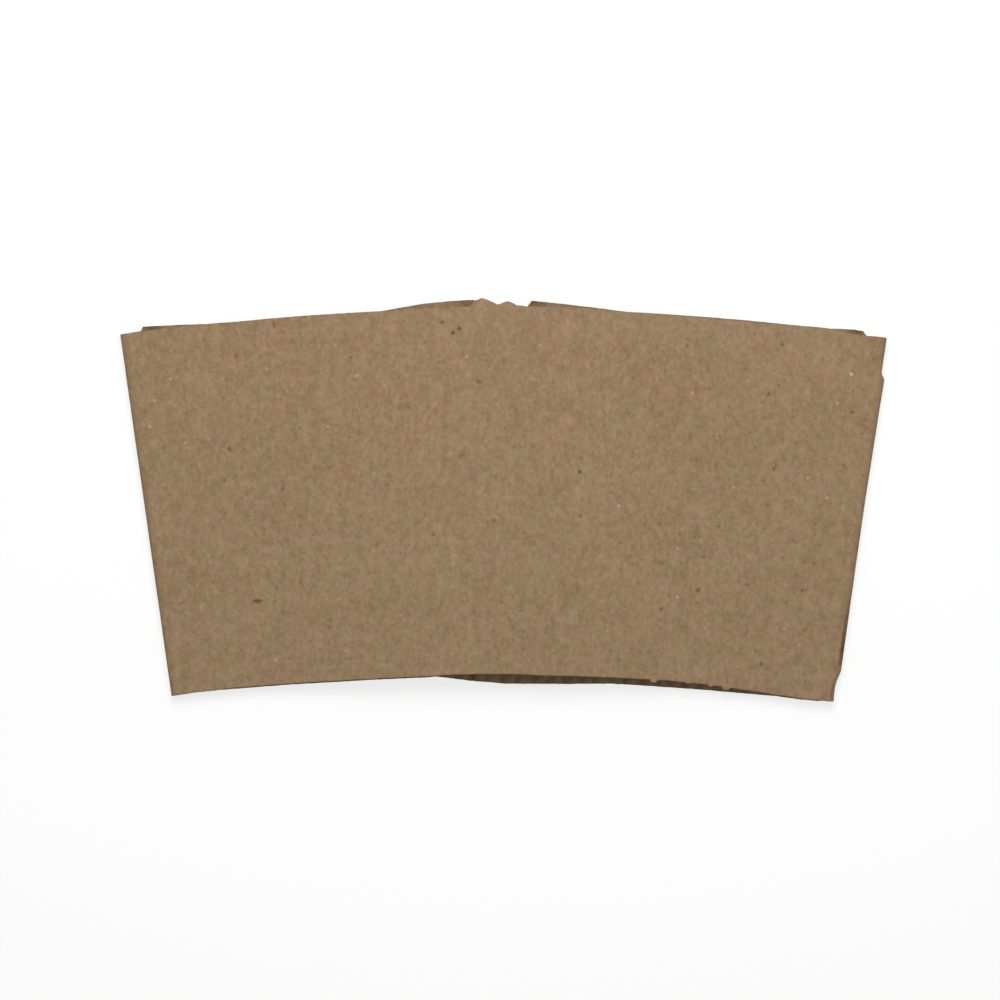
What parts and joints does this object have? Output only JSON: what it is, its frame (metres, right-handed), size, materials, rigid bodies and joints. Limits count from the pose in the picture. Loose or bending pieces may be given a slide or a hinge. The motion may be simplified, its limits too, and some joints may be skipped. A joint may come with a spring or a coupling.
{
  "type": "coffee cup sleeve",
  "caption": "Flat-folded kraft board sleeve that slips round a tapered hot cup: fluted inside, folded along two leaning creases and glued in a lap at the back.",
  "frame": {"origin": "under the middle of the sleeve's footprint, on the surface that it lies on", "axes": "+X across the sleeve, along its wide top edge; +Y up its centre line, to the wide top edge; +Z out of the front panel"},
  "size_m": [0.127, 0.0668, 0.0054],
  "materials": {
    "kraft_board": "matte"
  },
  "bodies": {
    "root": {"sleeve": "kraft_board"}
  },
  "joints": []
}
